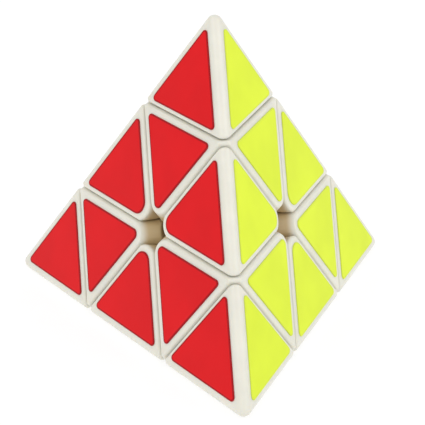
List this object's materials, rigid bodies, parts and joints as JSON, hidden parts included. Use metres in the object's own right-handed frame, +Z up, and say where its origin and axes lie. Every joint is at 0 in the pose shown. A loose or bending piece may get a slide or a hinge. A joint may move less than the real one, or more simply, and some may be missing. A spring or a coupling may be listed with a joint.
{
  "type": "pyramid twisty puzzle",
  "caption": "Pyramid-shaped twisty puzzle: layers and small tips turn about the axes through its corners, moving coloured triangular stickers round.",
  "frame": {"origin": "centre of the core, where the four turning axes meet; the puzzle is balanced about it", "axes": "+Z up through the top corner, standing on the blue face; -Y towards the front corner, between the red and yellow faces; +X towards the right corner"},
  "size_m": [0.0982, 0.0856, 0.0812],
  "materials": {
    "white_plastic": "smooth moulded ivory-white plastic",
    "core_plastic": "plain moulded plastic, hidden inside",
    "steel": "bright machined steel",
    "sticker_red": "satin vinyl sticker",
    "sticker_yellow": "satin fluorescent vinyl sticker",
    "sticker_green": "satin vinyl sticker",
    "sticker_blue": "satin vinyl sticker"
  },
  "bodies": {
    "core": {"core": "core_plastic", "screw_top": "steel", "screw_front": "steel", "screw_right": "steel", "screw_left": "steel", "spring_top": "steel", "spring_front": "steel", "spring_right": "steel", "spring_left": "steel"},
    "top_axial": {"axial_top": "white_plastic", "sticker_green_axial_top": "sticker_green", "sticker_red_axial_top": "sticker_red", "sticker_yellow_axial_top": "sticker_yellow"},
    "top_tip": {"tip_top": "white_plastic", "sticker_green_tip_top": "sticker_green", "sticker_red_tip_top": "sticker_red", "sticker_yellow_tip_top": "sticker_yellow"},
    "front_axial": {"axial_front": "white_plastic", "sticker_blue_axial_front": "sticker_blue", "sticker_red_axial_front": "sticker_red", "sticker_yellow_axial_front": "sticker_yellow"},
    "front_tip": {"tip_front": "white_plastic", "sticker_blue_tip_front": "sticker_blue", "sticker_red_tip_front": "sticker_red", "sticker_yellow_tip_front": "sticker_yellow"},
    "right_axial": {"axial_right": "white_plastic", "sticker_blue_axial_right": "sticker_blue", "sticker_green_axial_right": "sticker_green", "sticker_yellow_axial_right": "sticker_yellow"},
    "right_tip": {"tip_right": "white_plastic", "sticker_blue_tip_right": "sticker_blue", "sticker_green_tip_right": "sticker_green", "sticker_yellow_tip_right": "sticker_yellow"},
    "left_axial": {"axial_left": "white_plastic", "sticker_blue_axial_left": "sticker_blue", "sticker_green_axial_left": "sticker_green", "sticker_red_axial_left": "sticker_red"},
    "left_tip": {"tip_left": "white_plastic", "sticker_blue_tip_left": "sticker_blue", "sticker_green_tip_left": "sticker_green", "sticker_red_tip_left": "sticker_red"},
    "top_front_edge": {"edge_top_front": "white_plastic", "sticker_red_edge_top_front": "sticker_red", "sticker_yellow_edge_top_front": "sticker_yellow"},
    "top_right_edge": {"edge_top_right": "white_plastic", "sticker_green_edge_top_right": "sticker_green", "sticker_yellow_edge_top_right": "sticker_yellow"},
    "top_left_edge": {"edge_top_left": "white_plastic", "sticker_green_edge_top_left": "sticker_green", "sticker_red_edge_top_left": "sticker_red"},
    "front_right_edge": {"edge_front_right": "white_plastic", "sticker_blue_edge_front_right": "sticker_blue", "sticker_yellow_edge_front_right": "sticker_yellow"},
    "front_left_edge": {"edge_front_left": "white_plastic", "sticker_blue_edge_front_left": "sticker_blue", "sticker_red_edge_front_left": "sticker_red"},
    "right_left_edge": {"edge_right_left": "white_plastic", "sticker_blue_edge_right_left": "sticker_blue", "sticker_green_edge_right_left": "sticker_green"}
  },
  "joints": [
    {"name": "top_layer_turn", "type": "hinge", "parent": "core", "child": "top_axial", "pos_m": [0, 0, 0], "axis": [0, 0, 1], "range_deg": [-240, 120]},
    {"name": "front_layer_turn", "type": "hinge", "parent": "core", "child": "front_axial", "pos_m": [0, 0, 0], "axis": [0, -0.9428, -0.3333], "range_deg": [-120, 120]},
    {"name": "right_layer_turn", "type": "hinge", "parent": "core", "child": "right_axial", "pos_m": [0, 0, 0], "axis": [0.8165, 0.4714, -0.3333], "range_deg": [-120, 120]},
    {"name": "left_layer_turn", "type": "hinge", "parent": "core", "child": "left_axial", "pos_m": [0, 0, 0], "axis": [-0.8165, 0.4714, -0.3333], "range_deg": [-120, 120]},
    {"name": "top_tip_turn", "type": "hinge", "parent": "top_axial", "child": "top_tip", "pos_m": [0, 0, 0], "axis": [0, 0, 1], "continuous": true},
    {"name": "front_tip_turn", "type": "hinge", "parent": "front_axial", "child": "front_tip", "pos_m": [0, 0, 0], "axis": [0, -0.9428, -0.3333], "continuous": true},
    {"name": "right_tip_turn", "type": "hinge", "parent": "right_axial", "child": "right_tip", "pos_m": [0, 0, 0], "axis": [0.8165, 0.4714, -0.3333], "continuous": true},
    {"name": "left_tip_turn", "type": "hinge", "parent": "left_axial", "child": "left_tip", "pos_m": [0, 0, 0], "axis": [-0.8165, 0.4714, -0.3333], "continuous": true},
    {"name": "top_front_edge_follow", "type": "hinge", "parent": "front_axial", "child": "top_front_edge", "pos_m": [0, 0, 0], "axis": [0, 0, 1], "range_deg": [-240, 120]},
    {"name": "top_right_edge_follow", "type": "hinge", "parent": "right_axial", "child": "top_right_edge", "pos_m": [0, 0, 0], "axis": [0, 0, 1], "range_deg": [-240, 120]},
    {"name": "top_left_edge_follow", "type": "hinge", "parent": "left_axial", "child": "top_left_edge", "pos_m": [0, 0, 0], "axis": [0, 0, 1], "range_deg": [-240, 120]},
    {"name": "front_right_edge_follow", "type": "hinge", "parent": "right_axial", "child": "front_right_edge", "pos_m": [0, 0, 0], "axis": [0, -0.9428, -0.3333], "range_deg": [-120, 120]},
    {"name": "front_left_edge_follow", "type": "hinge", "parent": "front_axial", "child": "front_left_edge", "pos_m": [0, 0, 0], "axis": [-0.8165, 0.4714, -0.3333], "range_deg": [-120, 120]},
    {"name": "right_left_edge_follow", "type": "hinge", "parent": "left_axial", "child": "right_left_edge", "pos_m": [0, 0, 0], "axis": [0.8165, 0.4714, -0.3333], "range_deg": [-120, 120]}
  ],
  "couplings": [
    {"joint": "top_front_edge_follow", "follows": "top_layer_turn", "ratio": 1},
    {"joint": "top_right_edge_follow", "follows": "top_layer_turn", "ratio": 1},
    {"joint": "top_left_edge_follow", "follows": "top_layer_turn", "ratio": 1},
    {"joint": "front_right_edge_follow", "follows": "front_layer_turn", "ratio": 1},
    {"joint": "front_left_edge_follow", "follows": "left_layer_turn", "ratio": 1},
    {"joint": "right_left_edge_follow", "follows": "right_layer_turn", "ratio": 1}
  ]
}
